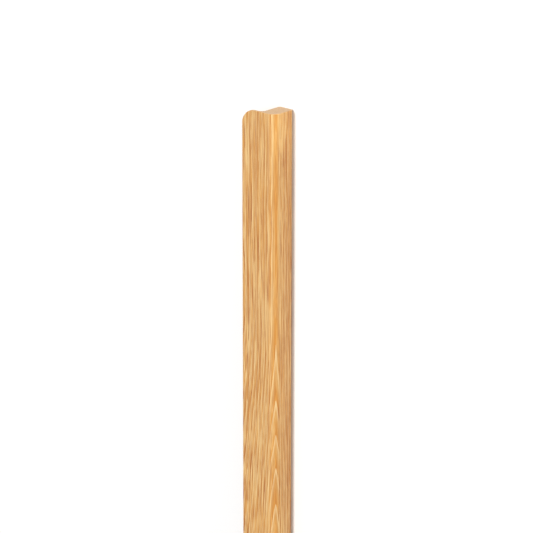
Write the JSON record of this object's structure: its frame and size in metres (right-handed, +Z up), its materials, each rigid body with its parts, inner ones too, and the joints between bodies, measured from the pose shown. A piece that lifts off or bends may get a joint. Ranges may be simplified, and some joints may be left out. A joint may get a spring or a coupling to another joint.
{
  "type": "threshold strip",
  "caption": "Straight oak threshold strip with an L section: a thin flange laps over the floor covering and a thick leg with a rounded nose closes its edge.",
  "frame": {"origin": "under the middle of the strip, in the plane that the leg stands on", "axes": "+X towards the outer side of the leg, +Y along the strip, +Z up through the top face"},
  "size_m": [0.044, 1, 0.0285],
  "materials": {
    "face_oak": "satin",
    "outer_oak": "satin",
    "inner_oak": "satin",
    "beech": "matte",
    "acrylic_foam": "matte",
    "liner_film": "satin"
  },
  "bodies": {
    "root": {"top_board": "face_oak", "outer_batten": "outer_oak", "inner_batten": "inner_oak", "loose_tongue": "beech", "mounting_tape": "acrylic_foam", "release_liner": "liner_film"}
  },
  "joints": []
}
